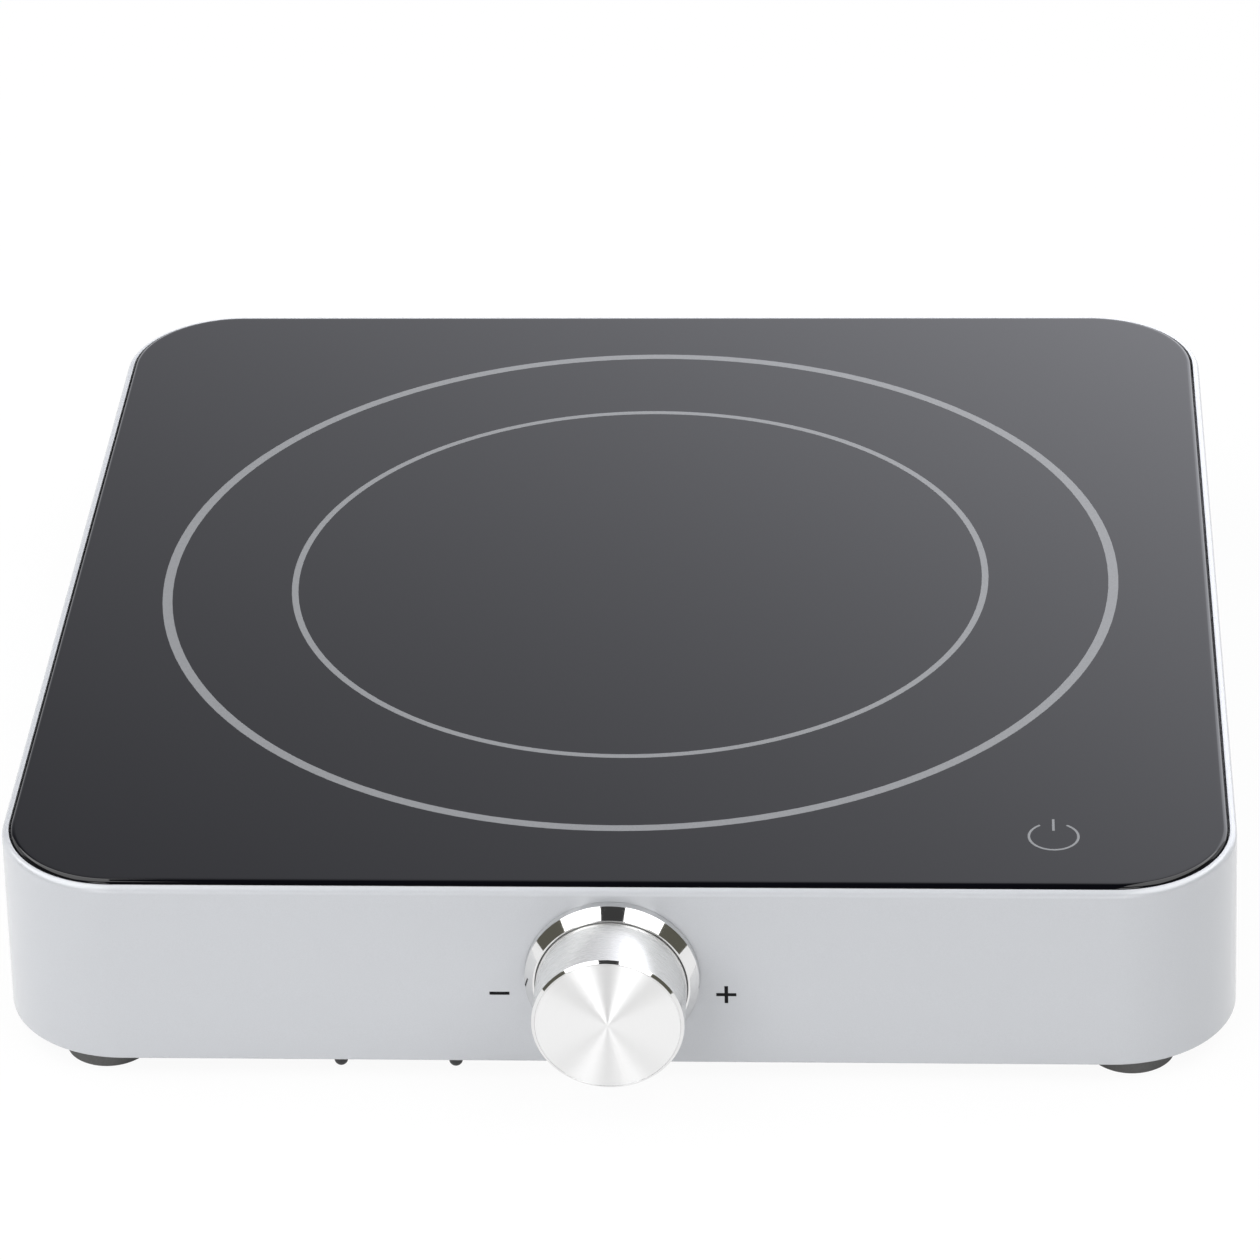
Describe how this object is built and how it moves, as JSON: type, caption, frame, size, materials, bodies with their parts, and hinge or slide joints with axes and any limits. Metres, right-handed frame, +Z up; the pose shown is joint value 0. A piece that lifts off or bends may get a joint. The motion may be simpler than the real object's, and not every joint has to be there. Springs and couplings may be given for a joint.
{
  "type": "induction cooktop",
  "caption": "Portable single-zone induction cooktop with a flush glass top, a flared silver housing and one round control knob at the front.",
  "frame": {"origin": "middle of the bounding box's underside, on the surface that the feet stand on", "axes": "+Z up, -Y towards the front with the knob, +X to the right seen from the front"},
  "size_m": [0.282, 0.301, 0.0507],
  "materials": {
    "glass_black": "polished, printed black underneath",
    "print_grey": "fired grey print",
    "mark_black": "printed",
    "housing_silver": "fine satin silver paint",
    "seal_silicone": "matt",
    "base_plastic": "moulded",
    "foot_rubber": "matt",
    "screw_steel": "zinc plated",
    "mica": "pressed sheet",
    "coil_copper": "enamelled strands",
    "carrier_plastic": "moulded",
    "ferrite": "sintered",
    "sensor_silicone": "matt",
    "lead_red": "silicone sleeve",
    "board_brown": "laminate",
    "board_green": "laminate",
    "sink_aluminium": "extruded",
    "chip_black": "moulded",
    "film_yellow": "boxed",
    "film_blue": "boxed",
    "choke_green": "coated core",
    "fuse_glass": "clear tube",
    "terminal_brass": "turned",
    "encoder_metal": "stamped",
    "cable_grey": "flat cable",
    "fan_black": "moulded",
    "gland_black": "moulded",
    "trim_chrome": "bright plated",
    "knob_satin": "satin plated",
    "cap_spun": "spun face"
  },
  "bodies": {
    "hob": {"glass_top": "glass_black", "glass_seal": "seal_silicone", "outer_zone_ring": "print_grey", "inner_zone_ring": "print_grey", "power_mark": "print_grey", "minus_mark": "mark_black", "plus_mark": "mark_black", "housing": "housing_silver", "base_cover": "base_plastic", "foot_front_left": "foot_rubber", "foot_front_right": "foot_rubber", "foot_rear_left": "foot_rubber", "foot_rear_right": "foot_rubber", "base_screws": "screw_steel", "mica_sheet": "mica", "induction_coil": "coil_copper", "coil_carrier": "carrier_plastic", "ferrite_bars": "ferrite", "coil_sensor": "sensor_silicone", "carrier_screws": "screw_steel", "coil_leads": "lead_red", "power_board": "board_brown", "heat_sink": "sink_aluminium", "power_transistor": "chip_black", "bridge_rectifier": "chip_black", "resonant_capacitor": "film_yellow", "filter_capacitor": "film_yellow", "line_capacitor": "film_blue", "line_choke": "choke_green", "filter_choke": "coil_copper", "electrolytic_capacitors": "chip_black", "standby_transformer": "film_yellow", "fuse": "fuse_glass", "terminal_block": "choke_green", "coil_terminals": "terminal_brass", "board_screws": "screw_steel", "control_board": "board_green", "control_chip": "chip_black", "buzzer": "chip_black", "encoder_body": "encoder_metal", "encoder_nut": "screw_steel", "ribbon_cable": "cable_grey", "touch_board": "board_green", "touch_spring": "screw_steel", "touch_cable": "cable_grey", "fan_frame": "fan_black", "fan_stator": "coil_copper", "fan_screws": "screw_steel", "fan_lead": "cable_grey", "air_baffle": "carrier_plastic", "cord_gland": "gland_black", "gland_nut": "gland_black", "cord_clamp": "gland_black", "knob_trim": "trim_chrome"},
    "knob": {"knob_body": "knob_satin", "knob_cap": "cap_spun", "knob_clip": "screw_steel", "encoder_shaft": "encoder_metal"},
    "fan": {"fan_rotor": "fan_black", "fan_shaft": "screw_steel"}
  },
  "joints": [
    {"name": "knob_turn", "type": "hinge", "parent": "hob", "child": "knob", "pos_m": [0, -0.13045, 0.0275], "axis": [0, -1, 0], "continuous": true},
    {"name": "fan_spin", "type": "hinge", "parent": "hob", "child": "fan", "pos_m": [-0.062, 0.06345, 0.008], "axis": [0, 0, 1], "continuous": true}
  ]
}
